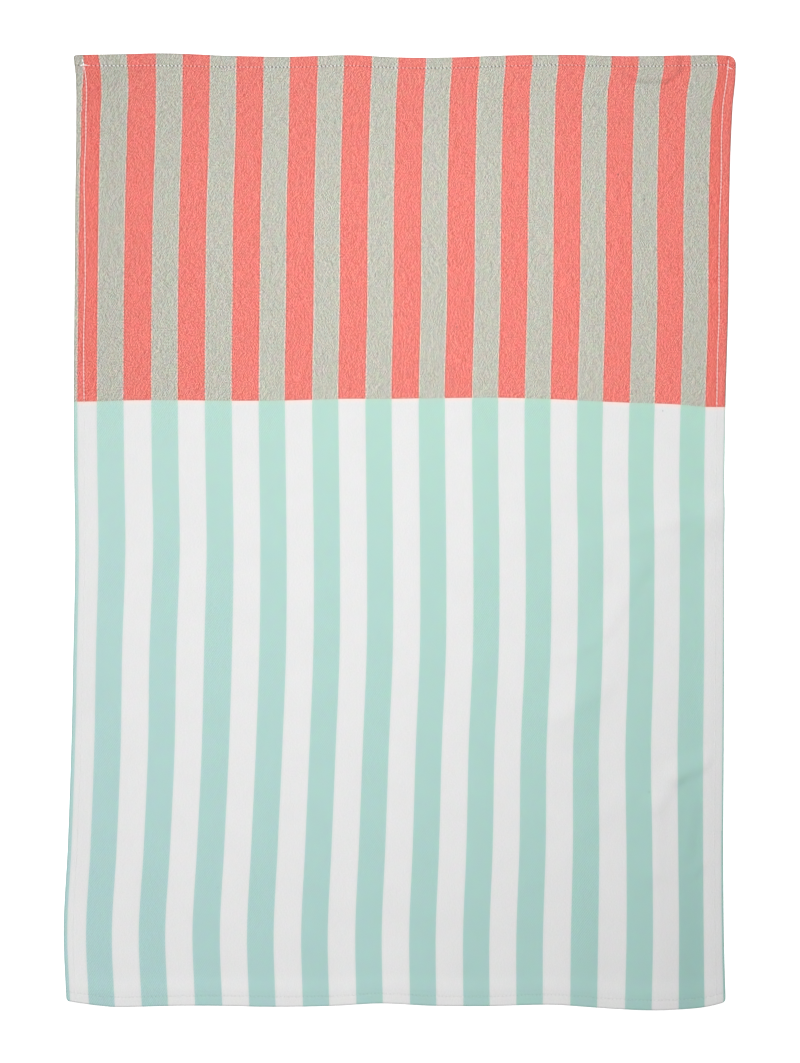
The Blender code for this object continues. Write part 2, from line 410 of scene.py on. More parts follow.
def make_cloth():
    """The hemmed cloth: a ruled grid extruded into a face and a back, then laid point by point."""
    columns, rows = ruling(WIDTH, HEM_WIDTHS[0]), ruling(LENGTH, HEM_WIDTHS[1])
    deselect_all()
    bpy.ops.mesh.primitive_grid_add(x_subdivisions=len(columns) - 1, y_subdivisions=len(rows) - 1, size=1.0)
    cloth = bpy.context.object
    cloth.name = "hemmed_cloth"
    bpy.ops.object.mode_set(mode="EDIT")
    bpy.ops.mesh.select_all(action="SELECT")
    bpy.ops.mesh.extrude_region_move(TRANSFORM_OT_translate={"value": (0.0, 0.0, 1.0)})
    bpy.ops.mesh.select_all(action="SELECT")
    bpy.ops.mesh.normals_make_consistent(inside=False)
    bpy.ops.object.mode_set(mode="OBJECT")
    mesh = cloth.data
    mesh.uv_layers.remove(mesh.uv_layers[0])
    cut = np.empty(len(mesh.vertices) * 3)
    mesh.vertices.foreach_get("co", cut)
    cut = cut.reshape(-1, 3)
    across = np.array(columns)[np.rint((cut[:, 0] + 0.5) * (len(columns) - 1)).astype(int)]
    up = np.array(rows)[np.rint((cut[:, 1] + 0.5) * (len(rows) - 1)).astype(int)]
    on_face = cut[:, 2] > 0.5
    mesh.vertices.foreach_set("co", lay(across, up, on_face).ravel())
    corners = np.empty(len(mesh.loops), int)
    mesh.loops.foreach_get("vertex_index", corners)
    woven = mesh.attributes.new("woven_mm", "FLOAT_VECTOR", "CORNER")
    woven.data.foreach_set("vector", woven_places(across, up, on_face, corners.reshape(-1, 4)).ravel())
    sewn = mesh.attributes.new("past_seams_mm", "FLOAT_VECTOR", "POINT")
    from_seams = np.stack([*past_seams(across, up), np.zeros_like(across)], axis=-1)
    sewn.data.foreach_set("vector", from_seams.ravel())
    mesh.shade_smooth()
    mesh.update()
    return cloth


# The stitching: one row round each side of the towel, from needle hole to needle hole
STITCH_PITCH = 2.75
PITCH_SCATTER = 0.12  # how far a stitch may start from its place on the seam
LEAN_SCATTER = 0.15  # and how much more or less it may lean
THREAD_SCATTER = (0.85, 1.1)  # how thick one may be, as a share of its seam's thread
SEAM_WANDER = 0.12  # how far a seam strays from its line, in waves of which a radian is so long
SEAM_WANDER_REACH = 8.3
HOLE_LENGTH = 0.7  # how far a needle hole's dimple reaches along the seam, and to each side of it
HOLE_WIDTH = 0.9
FACE_PROUD = 0.24  # how much of its own thickness a stitch's middle stands above the groove, on the face
BACK_PROUD = 0.04  # and on the back
STITCH_SLIMNESS = 0.7
PLY_TWIST = 240.0  # degrees that the two plies turn in one stitch
HOLE_PULL = 75.0  # degrees that the needle holes bend it
LOWER_SIDE_THREAD = 0.45  # how much of the side seams' thickness shows below the colour change

# share is a stitch's length as a share of the pitch, and blush how much coral it takes up from coral cloth
Seam = namedtuple("Seam", "side along_side start stop share lean thread blush")
SEAMS = (
    Seam("left", True, 1.0, LENGTH - 0.6, 1.16, 0.08, 1.2, 0.5),
    Seam("right", True, 1.0, LENGTH - 0.6, 1.16, -0.08, 1.2, 0.5),
    Seam("top", False, 3.4, WIDTH - 6.0, 0.6, -0.5, 0.95, 0.66),
    Seam("bottom", False, 3.4, WIDTH - 3.0, 0.75, 0.35, 0.42, 0.5),
)
LooseStitch = namedtuple("LooseStitch", "name start_across start_up end_across end_up thread blush")
LOOSE_STITCHES = (
    LooseStitch("back tack, first", 3.4, 692.3, 6.6, 692.5, 0.8, 0.0),
    LooseStitch("back tack, second", 5.6, 692.9, 9.4, 691.8, 0.8, 0.2),
    LooseStitch("turn at the top seam's end", 473.6, 691.9, 479.4, 690.3, 0.9, 0.3),
)


def seam_place(seam, along):
    """The place on the sewn cloth that is this far along a seam."""
    share = along / (LENGTH if seam.along_side else WIDTH)
    insets = [getattr(inset, seam.side) for inset in INSETS]
    inset = float(through_points([inset.share for inset in INSETS], insets, [share])[0])
    inset += SEAM_WANDER * math.sin(along / SEAM_WANDER_REACH)
    if seam.along_side:
        return (inset if seam.side == "left" else WIDTH - inset), along
    return along, (inset if seam.side == "bottom" else LENGTH - inset)


def plan_stitches(rng):
    """Each stitch's start and end on the sewn cloth, how thick it shows and how much coral it takes up."""
    stitches = [s[1:] for s in LOOSE_STITCHES]
    for seam in SEAMS:
        for number in range(int((seam.stop - seam.start) / STITCH_PITCH)):
            first = seam.start + number * STITCH_PITCH + rng.uniform(-PITCH_SCATTER, PITCH_SCATTER)
            lean = seam.lean + rng.uniform(-LEAN_SCATTER, LEAN_SCATTER)
            start = seam_place(seam, first)
            end = seam_place(seam, first + STITCH_PITCH * seam.share)
            lean_across, lean_up = (lean / 2, 0.0) if seam.along_side else (0.0, lean / 2)
            ends = (start[0] - lean_across, start[1] - lean_up, end[0] + lean_across, end[1] + lean_up)
            thread = seam.thread * rng.uniform(*THREAD_SCATTER)
            if seam.along_side and first < COLOUR_CHANGE_UP:
                thread *= LOWER_SIDE_THREAD
            stitches.append((*ends, thread, seam.blush))
    return stitches


def deform(stitch, method, degrees):
    """Twists or bends the stitch round its own Z axis."""
    change = stitch.modifiers.new(method.lower(), "SIMPLE_DEFORM")
    change.deform_method = method
    change.deform_axis = "Z"
    change.angle = math.radians(degrees)
    bpy.ops.object.modifier_apply(modifier=change.name)


def make_one_stitch():
    """One stitch of two-ply thread, 1 long on X, with Y pointing down into the cloth."""
    deselect_all()
    bpy.ops.mesh.primitive_uv_sphere_add(segments=6, ring_count=7, radius=0.5)
    stitch = bpy.context.object
    bpy.ops.object.mode_set(mode="EDIT")
    bpy.ops.mesh.select_all(action="SELECT")
    bpy.ops.transform.resize(value=(1.0, STITCH_SLIMNESS, 1.0))
    bpy.ops.object.mode_set(mode="OBJECT")
    deform(stitch, "TWIST", PLY_TWIST)
    bpy.ops.object.mode_set(mode="EDIT")
    bpy.ops.transform.rotate(value=math.radians(90.0), orient_axis="Y", center_override=(0.0, 0.0, 0.0))
    bpy.ops.object.mode_set(mode="OBJECT")
    deform(stitch, "BEND", HOLE_PULL)
    stitch.data.shade_smooth()
    stitch.data.attributes.new("sewn_mm", "FLOAT_VECTOR", "POINT")
    return stitch


def sew(name, stitch, stitches, on_face, proud):
    """Copies of the stitch on one side of the cloth, from hole to hole, joined into one piece."""
    start_across, start_up, end_across, end_up, thickness, blush = np.array(stitches, float).T
    starts, ends = lay(start_across, start_up, on_face), lay(end_across, end_up, on_face)
    places = np.stack([(start_across + end_across) / 2.0, (start_up + end_up) / 2.0, blush], axis=-1)
    outward = Vector((0.0, 0.0, 1.0 if on_face else -1.0))
    copies = []
    for start, end, thick, place in zip(starts, ends, thickness * MM, places):
        along = Vector(end) - Vector(start)
        aside = along.cross(-outward).normalized() * thick
        inward = aside.cross(along).normalized() * thick
        middle = (Vector(start) + Vector(end)) / 2.0 - inward * proud
        copy = stitch.copy()
        copy.data = stitch.data.copy()
        turned_and_sized = Matrix((along, inward, aside)).transposed().to_4x4()
        copy.data.transform(Matrix.Translation(middle) @ turned_and_sized)
        sewn = copy.data.attributes["sewn_mm"]
        sewn.data.foreach_set("vector", np.tile(place, len(copy.data.vertices)))
        bpy.context.collection.objects.link(copy)
        copies.append(copy)
    deselect_all()
    for copy in copies:
        copy.select_set(True)
    bpy.context.view_layer.objects.active = copies[0]
    bpy.ops.object.join()
    row = bpy.context.object
    row.name = name
    return row


def operator(operation, swapped=False):
    """A Python operator that adds a Math node, with its two values swapped or not."""

    def apply(first, second):
        pair = (second, first) if swapped else (first, second)
        return first.maths(operation, *pair)

    return apply


class Reading:
    """A number that varies over a surface. Each Python operation on it adds a Math node to its finish."""

    def __init__(self, finish, socket):
        self.finish = finish
        self.socket = socket

    def maths(self, operation, *values):
        return self.finish.node("ShaderNodeMath", {"operation": operation}, dict(enumerate(values)))

    __add__ = operator("ADD")
    __sub__ = operator("SUBTRACT")
    __mul__ = operator("MULTIPLY")
    __truediv__ = operator("DIVIDE")
    __mod__ = operator("FLOORED_MODULO")
    __lt__ = operator("LESS_THAN")
    __gt__ = operator("GREATER_THAN")
    __radd__ = operator("ADD", swapped=True)
    __rsub__ = operator("SUBTRACT", swapped=True)
    __rmul__ = operator("MULTIPLY", swapped=True)
    at_least = operator("MAXIMUM")
    at_most = operator("MINIMUM")

    def __abs__(self):
        return self.maths("ABSOLUTE", self)

    def floor(self):
        return self.maths("FLOOR", self)

    def nearness(self, reach):
        """1 at 0 and on either side of it a straight fall, to 0 at reach and past it."""
        return (1.0 - abs(self) / reach).at_least(0.0)

    def between(self, low, high):
        """0 below low, 1 above high, and a straight climb from one to the other."""
        sockets = {0: self, 1: low, 2: high, 3: 0.0, 4: 1.0}
        return self.finish.node("ShaderNodeMapRange", {"clamp": True}, sockets)


class Finish:
    """A material, with one method that adds any node to it."""

    def __init__(self, name, roughness, specular, sheen=0.0):
        self.material = bpy.data.materials.new(name)
        self.material.use_nodes = True
        self.tree = self.material.node_tree
        self.shader = self.tree.nodes["Principled BSDF"]
        self.shader.inputs["Roughness"].default_value = roughness
        self.shader.inputs["Specular IOR Level"].default_value = specular
        self.shader.inputs["Sheen Weight"].default_value = sheen
        self.shader.inputs["Sheen Roughness"].default_value = 0.5

    def node(self, kind, settings, inputs, output=0):
        """Adds a node: its settings, then the values or links of its sockets. Returns one of its outputs."""
        node = self.tree.nodes.new(kind)
        for name, value in settings.items():
            setattr(node, name, value)
        for name, value in inputs.items():
            if isinstance(value, Reading):
                self.tree.links.new(value.socket, node.inputs[name])
            else:
                node.inputs[name].default_value = value
        return Reading(self, node.outputs[output])

    def attribute(self, name):
        """The three numbers that the mesh holds under this name."""
        held = self.node("ShaderNodeAttribute", {"attribute_name": name}, {}, "Vector")
        return [self.node("ShaderNodeSeparateXYZ", {}, {0: held}, axis) for axis in "XYZ"]

    def place(self, x, y, z=0.0):
        return self.node("ShaderNodeCombineXYZ", {}, {0: x, 1: y, 2: z})

    def mix(self, colour, other, share):
        """The first colour where share is 0, and the other one where it is 1."""
        return self.node("ShaderNodeMix", {"data_type": "RGBA"}, {0: share, 6: colour, 7: other}, 2)

    def dim(self, colour, level):
        """The colour, lighter or darker by a level that varies."""
        return self.node("ShaderNodeVectorMath", {"operation": "SCALE"}, {0: colour, 3: level})

    def vary(self, colour, depth, swing):
        """The colour, changed in each channel by up to its share in depth as swing goes from -1 to 1."""
        change = self.node("ShaderNodeVectorMath", {"operation": "MULTIPLY"}, {0: colour, 1: depth})
        swung = self.dim(change, swing)
        return self.node("ShaderNodeVectorMath", {"operation": "ADD"}, {0: colour, 1: swung})

    def cloud(self, place, scale, detail=2.0):
        """Soft noise around 0.5."""
        sockets = {"Vector": place, "Scale": scale, "Detail": detail}
        return self.node("ShaderNodeTexNoise", {}, sockets, "Fac")

    def patches(self, across, up, size, layer=0.0):
        """Soft patches of this size, around 0. Each layer has its own."""
        return self.cloud(self.place(across / size, up / size, layer), 1.0) - 0.5

    def toss(self, number):
        """A random level from 0 to 1 for each whole number."""
        return self.node("ShaderNodeTexWhiteNoise", {"noise_dimensions": "1D"}, {"W": number}, "Value")

    def toss_pair(self, number, other):
        """The same for each pair of whole numbers."""
        pair = self.place(number, other)
        return self.node("ShaderNodeTexWhiteNoise", {"noise_dimensions": "2D"}, {"Vector": pair}, "Value")

    def flecks(self, across, up):
        """Small dark and light flecks in rows, each row shifted by its own chance: about -0.7 to 0.7."""
        row = (up / FLECK_UP).floor()
        column = (across / FLECK_ACROSS + self.toss(row) * FLECK_SHIFT).floor()
        beside = self.toss_pair(column + 1.0, row) + self.toss_pair(column - 1.0, row)
        rows_beside = self.toss_pair(column, row + 1.0) + self.toss_pair(column, row - 1.0)
        return self.toss_pair(column, row) - (beside + rows_beside) / 4.0

    def streaks(self, across, up):
        """Short lengths of warp, darker or lighter than those beside them: -1 to 1."""
        column = (across / FLECK_ACROSS).floor()
        stretch = (up / STREAK_LENGTH + self.toss(column) * STREAK_SHIFT).floor()
        return self.toss_pair(column, stretch) - self.toss_pair(column + 1.0, stretch)

    def stripes(self, across, up):
        """How far inside a mint stripe each place is, below 0 outside it, and whether its weft is coral."""
        from_first = across - STRIPE_START - MINT_STRIPE / 2.0
        from_middle = (from_first + STRIPE_PAIR / 2.0) % STRIPE_PAIR - STRIPE_PAIR / 2.0
        flare = up.between(COLOUR_CHANGE_UP, LENGTH)
        left_sliver = LEFT_SLIVER + LEFT_SLIVER_FLARE * flare * flare * flare - across
        end_flare = up.between(LENGTH - END_FLARE_STARTS, LENGTH - END_FLARE_ENDS)
        left_sliver = left_sliver + LEFT_SLIVER_END_FLARE * end_flare
        right_sliver = across - WIDTH + RIGHT_SLIVER - RIGHT_SLIVER_TAPER / LENGTH * up
        inside = (MINT_STRIPE / 2.0 - abs(from_middle)).at_least(left_sliver).at_least(right_sliver)
        return inside, up > COLOUR_CHANGE_UP

    def distance(self, across, up, place):
        """How far a place of the pattern is from a fixed one."""
        pair = {0: self.place(across, up), 1: place}
        return self.node("ShaderNodeVectorMath", {"operation": "DISTANCE"}, pair, 1)

    def from_line(self, across, up, line):
        """About how far a place of the pattern is from a straight line between two fixed ones."""
        run_across, run_up = line.end_across - line.start_across, line.end_up - line.start_up
        length = math.hypot(run_across, run_up)
        dx, dy = across - line.start_across, up - line.start_up
        beside = dx * (run_up / length) - dy * (run_across / length)
        along = dx * (run_across / length) + dy * (run_up / length)
        past_end = (along - length).at_least(-1.0 * along).at_least(0.0)
        return abs(beside) + past_end

    def roundness(self, turns):
        """The height of round yarns, one to each whole number: 0 between them and 1 along their tops."""
        from_top = turns % 1.0 - 0.5
        return 1.0 - 4.0 * from_top * from_top

    def needle_holes(self, seam, along, past_seam):
        """1 in the middle of each of a seam's needle holes, in the gaps between stitches, falling to 0."""
        first_gap = seam.start + STITCH_PITCH * (seam.share + 1.0) / 2.0
        from_hole = (0.5 - abs((along - first_gap) / STITCH_PITCH % 1.0 - 0.5)) * STITCH_PITCH / HOLE_LENGTH
        aside = past_seam / HOLE_WIDTH
        return (1.0 - from_hole * from_hole - aside * aside).at_least(0.0)

    def done(self, colour, height=None, depth=0.0):
        """Joins the colour and the relief, with depth in metres, to the shader."""
        self.tree.links.new(colour.socket, self.shader.inputs["Base Color"])
        if height is not None:
            relief = self.node("ShaderNodeBump", {}, {"Height": height, "Distance": depth, "Strength": 1.0})
            self.tree.links.new(relief.socket, self.shader.inputs["Normal"])
        return self.material


# Yarn colours, in linear light. Beside another colour a yarn takes up some of it, as light passes between.
WHITE_YARN = (0.735, 0.735, 0.735, 1.0)
MINT_YARN = (0.391, 0.628, 0.558, 1.0)
WHITE_BY_MINT = (0.526, 0.673, 0.621, 1.0)
BETWEEN_WHITE_AND_MINT = (0.530, 0.665, 0.620, 1.0)
MINT_BY_CORAL = (0.472, 0.530, 0.458, 1.0)
CORAL_YARN = (0.752, 0.178, 0.152, 1.0)
CORAL_BY_MINT = (0.492, 0.310, 0.273, 1.0)
WHITE_BY_CORAL = (0.777, 0.269, 0.230, 1.0)
STRIPE_EDGE = (0.80, 0.50, 0.43, 1.0)
THREAD = (0.84, 0.84, 0.82, 1.0)
THREAD_BETWEEN_FIBRES = (0.76, 0.76, 0.74, 1.0)
THREAD_BY_CORAL = (0.95, 0.22, 0.19, 1.0)
LOWER_THREAD_BLEND = 0.8  # how much of the cloth's colour the thread takes up below the colour change
FIBRES_PER_METRE = 2500.0
YARN_RELIEF = 0.00005  # how high the yarns' and the thread's fine forms stand, in metres

# Where the stripes meet
SOFT_EDGE = 0.35  # how far white and mint blend, and how far in from where they meet
SOFT_EDGE_WIDTH = 1.8
STRIPE_EDGE_WIDTH = 0.8  # the two outermost mint ends, pale where coral weft crosses them
STRIPE_EDGE_SHOWS = 0.95  # how pale, and how much less on two picks of each four
STRIPE_EDGE_DIP = 0.4
DARK_EDGE_ENDS = 2.0  # the white ends beside a mint stripe, under coral weft dark on two picks of each four
DARK_EDGE_LEAST = 0.15  # and this dark on the others
RIGHT_FOLD_WIDTH = 4.0  # by the right fold the mint's dark picks have painted fold shade, and it has no pale ends
FIRST_PICKS_WIDTH = 1.3  # the lowest coral picks, dark on two ends of each four
FIRST_PICKS_LEAST = 0.4  # and this dark on the others
BLUSH_REACH = 3.7  # how far coral light reaches down from them

# Uneven dye. The depths are how far it varies in each channel.
FLECK_ACROSS = 0.8  # two ends wide, and a pick and a half high
FLECK_UP = 0.9
FLECK_SHIFT = 7.0  # how many flecks a row may be shifted by
FLECKS = 2.45
STREAKS = 0.2
MINT_STREAKS = 0.3  # as a share of those elsewhere
STREAK_LENGTH = 14.0
STREAK_SHIFT = 9.0
MOTTLE = 1.0
MOTTLE_SIZE = 5.0
TINT_SIZE = 8.0
WHITE_DEPTH = (0.018, 0.016, 0.018, 1.0)
LOWER_MINT_DEPTH = (0.038, 0.032, 0.038, 1.0)
CORAL_DEPTH = (0.13, 0.31, 0.31, 1.0)
MINT_DEPTH = (0.24, 0.23, 0.24, 1.0)  # where coral weft crosses the mint

# Parts of the cloth with a tint of their own, and places with painted shade
OUTER_STRIP = 17.0  # the stripes along the side edges reach this far in
SEAM_LINE = 0.8  # the coral ones tint from their seams inwards, over this width
LOWER_STRIP_CLEARS = (60.0, 140.0)  # the white ones are darker above these heights, by degrees
BRIGHT_MINT_STARTS = 330.0  # the mint gets lighter from here up to the colour change: painted light, with a shift in its hue
BELOW_PINCH_STARTS = 440.0  # right of here and below these heights the mint has painted shade, for the hollow under the pinch
BELOW_PINCH_CLEARS = (150.0, 180.0)
CORNER_CREASE = (18.0, 666.0)  # painted shade: above a crease that climbs through here, the curled top left corner is painted darker
CORNER_CREASE_CLIMB = 30.6  # in degrees
CORNER_CREASE_WIDTH = 7.0
CORNER_CREASE_INSIDE = 3.0  # it starts at the seams, and is in full this far past them

# The share that each channel gains in a part of the cloth, whose names are those that parts_of_cloth gives.
# Some of these are painted shade or painted light.
Tint = namedtuple("Tint", "part red green blue")
TINTS = (
    Tint("off green", 0.13, -0.08, 0.0),
    Tint("off blue", 0.0, -0.05, 0.15),
    Tint("blush", 0.15, 0.02, -0.02),
    Tint("deep blush", 0.04, -0.09, -0.12),
    Tint("first picks", -0.11, 0.0, 0.0),
    Tint("first picks on white", -0.12, 0.12, 0.14),
    Tint("dark edges", -0.42, -0.06, -0.06),
    Tint("coral, to both sides", 0.06, -0.01, -0.01),
    Tint("coral, rightwards", 0.015, 0.0, 0.0),
    Tint("outer coral", -0.01, -0.08, -0.10),
    Tint("outer coral, rightwards", -0.025, -0.02, -0.035),
    Tint("outer white", -0.024, -0.024, -0.024),
    # Painted shade and painted light on the mint, with a drift in its hue: darker towards the bottom and the
    # right, where less light falls, and lighter by the colour change
    Tint("mint, downwards", -0.085, -0.07, -0.02),
    Tint("mint, rightwards", -0.03, 0.0, -0.03),
    Tint("mint, to both sides", -0.02, -0.015, 0.0),
    Tint("mint by the change", 0.015, 0.02, -0.005),
    Tint("mint below the pinch", -0.05, -0.035, -0.04),
    Tint("pressed corner", -0.04, -0.04, -0.04),
)

# Painted shade: how much darker the cloth is painted where less light falls on it: all over, and how much
# more at the bottom, at the right, where both meet, at the top and at both sides
Shade = namedtuple("Shade", "all_over bottom right bottom_right top sides")
LOWER_SHADE = Shade(0.055, -0.03, -0.015, 0.06, 0.0, 0.04)
CORAL_SHADE = Shade(0.02, 0.0, -0.03, 0.0, 0.05, 0.11)
TOP_SHADE_STARTS = 600.0
PATCH_SHADE = 0.05
PATCH_SIZE = 25.0
SEAM_SHADE = 0.08  # painted shade where the stitching draws the coloured end in
HOLE_SHADE = 0.03  # painted shade in the needle holes, and how much more on coral and on mint crossed by coral
CORAL_HOLE_SHADE = 0.42
MINT_HOLE_SHADE = 0.2
SIDE_HOLES = 0.5  # how deep the side seams' holes are beside the others
HOLE_DEPTH = 3.0  # as a share of the yarns' relief
SIDE_FOLD_SHADE = 0.15  # painted shade where the cloth turns down at its edges
END_FOLD_SHADE = 0.25
FOLD_SHADE_WIDTH = 1.2
RIGHT_FOLD_SHADE_WIDTH = 3.4

# Thick dark places in a yarn
Slub = namedtuple("Slub", "across up size shade")
SLUBS = (
    Slub(397, 613, 0.9, 0.7),
    Slub(83, 667, 0.9, 0.6),
    Slub(278.5, 498, 0.8, 0.6),
    Slub(190.5, 602.5, 0.9, 0.6),
    Slub(417.5, 594.5, 0.9, 0.6),
    Slub(452, 588, 0.8, 0.5),
    Slub(111, 560.5, 0.8, 0.5),
    Slub(224.5, 661, 0.8, 0.6),
    Slub(142.5, 512, 0.9, 0.5),
    Slub(267, 481.5, 0.8, 0.6),
    Slub(344.5, 371, 0.8, 0.4),
    Slub(433.5, 440, 0.7, 0.5),
    Slub(425.5, 160, 0.9, 0.4),
    Slub(111.5, 87, 0.8, 0.3),
)

# Painted highlights along two creases of the coloured end, and painted shade in the pucker's hollow
PaintedCrease = namedtuple("PaintedCrease", "name start_across start_up end_across end_up half_width paler")
CREASE_LIGHT_AND_SHADE = (
    PaintedCrease("rubbed left crease", 222, 497, 306, 462, 1.8, 0.06),
    PaintedCrease("rubbed right crease", 342, 565, 389, 457, 5.0, 0.03),
    PaintedCrease("hollow of the pucker, left part", 397, 687.5, 410, 681, 2.6, -0.10),
    PaintedCrease("hollow of the pucker", 410, 681, 432, 680.5, 2.8, -0.14),
    PaintedCrease("hollow of the pucker, right part", 432, 680.5, 440, 688.5, 2.8, -0.15),
    PaintedCrease("hollow of the pucker, across the hem", 440, 688.5, 439, 698, 3.4, -0.14),
)


class Spot:
    """One place on the cloth, as the readings that its colour and relief are worked out from."""

    def __init__(self, finish):
        self.across, self.up, self.right_side = finish.attribute("woven_mm")
        self.past_side, self.past_end, _ = finish.attribute("past_seams_mm")
        self.end, self.pick = (self.across / WARP_PITCH).floor(), (self.up / WEFT_PITCH).floor()
        end_middle, pick_middle = (self.end + 0.5) * WARP_PITCH, (self.pick + 0.5) * WEFT_PITCH
        self.inside_mint, self.coral = finish.stripes(end_middle, pick_middle)
        self.mint = self.inside_mint > 0.0
        self.past_change = pick_middle - COLOUR_CHANGE_UP
        self.in_dark_pick = self.pick % TWILL_ENDS < TWILL_ENDS / 2.0
        self.by_right_fold = self.across > WIDTH - RIGHT_FOLD_WIDTH
        self.to_side = self.across.at_most(WIDTH - self.across)
        self.to_end = self.up.at_most(LENGTH - self.up)
        self.rightward = self.across / (WIDTH / 2.0) - 1.0  # -1 at the left edge, 1 at the right one
        self.downward = 1.0 - (self.up / COLOUR_CHANGE_UP).at_most(1.0)  # 0 from the colour change up, 1 at 0


def warp_on_top(spot):
    """1 where the end lies over the pick: in mint at three crossings of four, and elsewhere at one."""
    order = (spot.end - spot.pick) % TWILL_ENDS
    on_right_side = (order > TWILL_ENDS - 1.5).at_least((order > 0.5) * spot.mint)
    return abs(spot.right_side - 1.0 + on_right_side)


def yarn_colour(finish, spot, warp_shows):
    """The colour of the yarn on top, blended where two stripes meet."""
    mint, coral, inside_mint = spot.mint, spot.coral, spot.inside_mint
    white_warp = finish.mix(WHITE_YARN, WHITE_BY_CORAL, coral)
    mint_warp = finish.mix(MINT_YARN, MINT_BY_CORAL, coral)
    weft_over_white = finish.mix(WHITE_YARN, CORAL_YARN, coral)
    weft_over_mint = finish.mix(WHITE_BY_MINT, CORAL_BY_MINT, coral)
    warp_colour = finish.mix(white_warp, mint_warp, mint)
    weft_colour = finish.mix(weft_over_white, weft_over_mint, mint)
    colour = finish.mix(weft_colour, warp_colour, warp_shows)
    soft_edge = inside_mint.nearness(SOFT_EDGE_WIDTH) * SOFT_EDGE * (1.0 - coral)
    colour = finish.mix(colour, BETWEEN_WHITE_AND_MINT, soft_edge)
    pale_edge = mint * (inside_mint < STRIPE_EDGE_WIDTH) * coral * (1.0 - spot.by_right_fold)
    how_pale = STRIPE_EDGE_SHOWS - STRIPE_EDGE_DIP * spot.in_dark_pick
    return finish.mix(colour, STRIPE_EDGE, pale_edge * how_pale)


def with_uneven_dye(finish, spot, colour):
    """The colour with its flecks, streaks and mottling."""
    plain_depth = finish.mix(WHITE_DEPTH, LOWER_MINT_DEPTH, spot.mint)
    crossed_depth = finish.mix(CORAL_DEPTH, MINT_DEPTH, spot.mint)
    streaks = finish.streaks(spot.across, spot.up) * STREAKS * (1.0 - (1.0 - MINT_STREAKS) * spot.mint)
    mottle = finish.patches(spot.across, spot.up, MOTTLE_SIZE) * MOTTLE
    unevenness = finish.flecks(spot.across, spot.up) * FLECKS + streaks + mottle
    return finish.vary(colour, finish.mix(plain_depth, crossed_depth, spot.coral), unevenness)


def parts_of_cloth(finish, spot):
    """The parts that the tints name: each is 0 away from the part and 1 in it, or climbs across the cloth."""
    across, up, coral, rightward = spot.across, spot.up, spot.coral, spot.rightward
    white = 1.0 - spot.mint
    coral_stripe, lower_mint = coral * white, spot.mint * (1.0 - coral)
    # Half as strong on white as on mint, and half as strong again in the coloured end
    uneven_tint = 0.5 + 0.5 * spot.mint + (1.0 - 0.5 * spot.mint) * coral
    above_change = spot.past_change > 0.0
    dark_end = spot.end % TWILL_ENDS < TWILL_ENDS / 2.0
    first_picks = above_change * (spot.past_change < FIRST_PICKS_WIDTH)
    first_picks = first_picks * (FIRST_PICKS_LEAST + (1.0 - FIRST_PICKS_LEAST) * dark_end)
    blush = (spot.past_change / BLUSH_REACH + 1.0).at_least(0.0) * (spot.past_change < 0.0)
    how_dark = DARK_EDGE_LEAST + (1.0 - DARK_EDGE_LEAST) * spot.in_dark_pick
    dark_edges = white * (spot.inside_mint > -DARK_EDGE_ENDS * WARP_PITCH) * how_dark * coral
    fold_shade_picks = spot.by_right_fold * spot.mint * coral * spot.in_dark_pick

    in_outer_strip = spot.to_side < OUTER_STRIP
    outer_coral = coral_stripe * in_outer_strip * spot.past_side.between(0.0, SEAM_LINE)
    outer_white = (1.0 - coral) * white * in_outer_strip * up.between(*LOWER_STRIP_CLEARS)
    painted_pinch_shade = (across > BELOW_PINCH_STARTS) * (1.0 - up.between(*BELOW_PINCH_CLEARS))
    # Painted shade where the curled top left corner tilts away from the light
    climb = math.radians(CORNER_CREASE_CLIMB)
    above_crease = (up - CORNER_CREASE[1]) * math.cos(climb) - (across - CORNER_CREASE[0]) * math.sin(climb)
    inside_end = spot.past_end.between(0.0, CORNER_CREASE_INSIDE)
    inside_side = spot.past_side.between(0.0, CORNER_CREASE_INSIDE)
    return {
        "off green": finish.patches(across, up, TINT_SIZE, 1.0) * uneven_tint,
        "off blue": finish.patches(across, up, TINT_SIZE, 2.0) * uneven_tint,
        "blush": blush * (1.0 - 0.5 * spot.mint),
        "deep blush": blush * blush * (1.0 - 0.5 * spot.mint),
        "first picks": first_picks,
        "first picks on white": first_picks * white,
        # Dark ends beside the mint stripes, and painted fold shade on the mint's dark picks by the right fold
        "dark edges": dark_edges.at_least(fold_shade_picks),
        "coral, to both sides": coral_stripe * rightward * rightward,
        "coral, rightwards": coral_stripe * rightward,
        "outer coral": outer_coral,
        "outer coral, rightwards": outer_coral * rightward,
        "outer white": outer_white,
        # Painted shade and painted light on the mint, with a drift in its hue
        "mint, downwards": lower_mint * spot.downward,
        "mint, rightwards": lower_mint * rightward,
        "mint, to both sides": lower_mint * rightward * rightward,
        "mint by the change": lower_mint * up.between(BRIGHT_MINT_STARTS, COLOUR_CHANGE_UP),
        "mint below the pinch": lower_mint * painted_pinch_shade,
        "pressed corner": above_crease.between(0.0, CORNER_CREASE_WIDTH) * inside_end * inside_side,
    }


def painted_falloff(spot, shade):
    """How light one of the two ends of the cloth is painted from place to place: painted shade where less
    light falls.
    """
    rightward, downward = spot.rightward, spot.downward
    darker = shade.all_over + shade.bottom * downward + shade.top * spot.up.between(TOP_SHADE_STARTS, LENGTH)
    darker = darker + rightward * (shade.bottom_right * downward + shade.right)
    return (1.0 - darker) * (1.0 - shade.sides * rightward * rightward)


